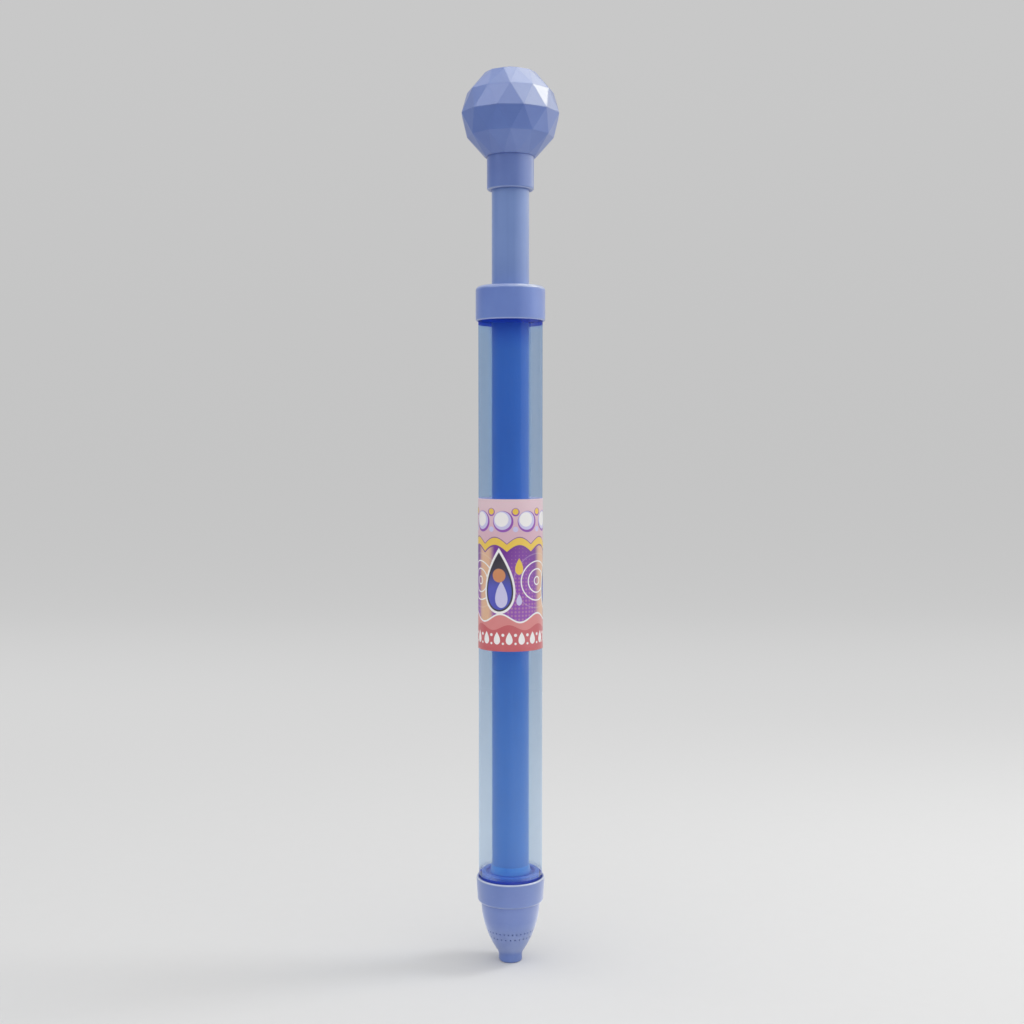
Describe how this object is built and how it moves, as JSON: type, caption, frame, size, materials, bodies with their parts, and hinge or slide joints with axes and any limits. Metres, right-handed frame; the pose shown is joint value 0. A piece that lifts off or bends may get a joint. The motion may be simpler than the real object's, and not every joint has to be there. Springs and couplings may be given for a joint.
{
  "type": "water squirter",
  "caption": "Hand-pumped water squirter: clear barrel, sliding plunger with a faceted ball knob, sealed piston, and a rounded nose with a jet outlet and rings of spray holes.",
  "frame": {"origin": "centre of the flat end of the nozzle tip, on the barrel's axis", "axes": "+Z along the barrel from the tip to the knob, -Y towards the front of the label"},
  "size_m": [0.0568, 0.0568, 0.5317],
  "materials": {
    "clear_barrel": "clear extruded tube with a pale blue tint, glossy",
    "label_print": "printed film, semi-gloss, pink, purple and coral",
    "lavender_plastic": "satin lavender-blue moulded plastic",
    "rod_plastic": "satin blue extruded plastic",
    "guide_plastic": "satin blue moulded plastic",
    "seal_rubber": "soft black rubber"
  },
  "bodies": {
    "barrel": {"barrel_tube": "clear_barrel", "label_wrap": "label_print", "top_cap": "lavender_plastic", "rod_guide": "guide_plastic", "nozzle_collar": "lavender_plastic", "spray_nose": "lavender_plastic", "nozzle_gasket": "seal_rubber"},
    "seal_rings": {"piston_seal_upper": "seal_rubber", "piston_seal_lower": "seal_rubber"},
    "plunger": {"plunger_rod": "rod_plastic", "piston": "rod_plastic", "knob_lower_shell": "lavender_plastic", "knob_upper_shell": "lavender_plastic"}
  },
  "joints": [
    {"name": "plunger_slide", "type": "slide", "parent": "barrel", "child": "seal_rings", "axis": [0, 0, 1], "range_m": [0, 0.324]},
    {"name": "plunger_twist", "type": "hinge", "parent": "seal_rings", "child": "plunger", "pos_m": [0, 0, 0.05], "axis": [0, 0, 1], "continuous": true}
  ]
}
